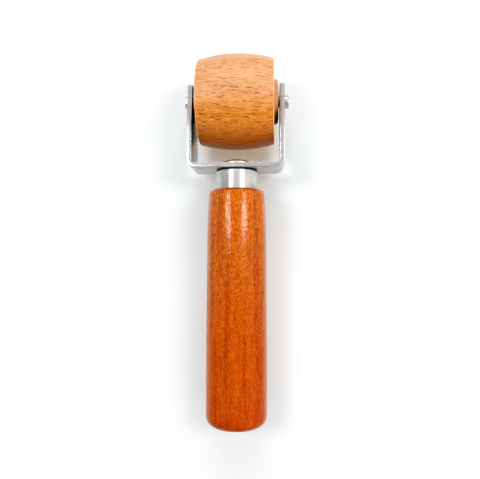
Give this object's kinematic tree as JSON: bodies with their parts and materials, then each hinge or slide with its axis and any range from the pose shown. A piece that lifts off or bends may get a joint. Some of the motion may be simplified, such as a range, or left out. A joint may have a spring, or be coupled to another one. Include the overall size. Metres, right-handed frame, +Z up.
{
  "type": "seam roller",
  "caption": "Hand seam roller: a crowned wooden roller spins on a riveted axle in a bent steel fork, fixed through a metal ferrule to a turned hardwood handle.",
  "frame": {"origin": "centre of the handle's flat butt face", "axes": "+Y along the handle towards the roller, +X along the roller's axle, +Z up as the tool lies on a table"},
  "size_m": [0.0448, 0.1571, 0.04],
  "materials": {
    "handle_wood": "hardwood with a red-brown stain and a semi-gloss lacquer",
    "ferrule_metal": "drawn and polished aluminium",
    "collar_fibre": "black fibre washer",
    "fork_steel": "zinc-plated mild steel strip",
    "rivet_steel": "nickel-plated steel",
    "bush_metal": "plain steel tube",
    "roller_wood": "fine-sanded beech with a thin clear coat"
  },
  "bodies": {
    "tool": {"handle": "handle_wood", "ferrule": "ferrule_metal", "collar_washer": "collar_fibre", "fork": "fork_steel", "tang": "rivet_steel", "axle_rivet": "rivet_steel"},
    "wheel": {"roller": "roller_wood", "roller_bush": "bush_metal"}
  },
  "joints": [
    {"name": "roller_spin", "type": "hinge", "parent": "tool", "child": "wheel", "pos_m": [0, 0.1371, 0], "axis": [1, 0, 0], "continuous": true}
  ]
}
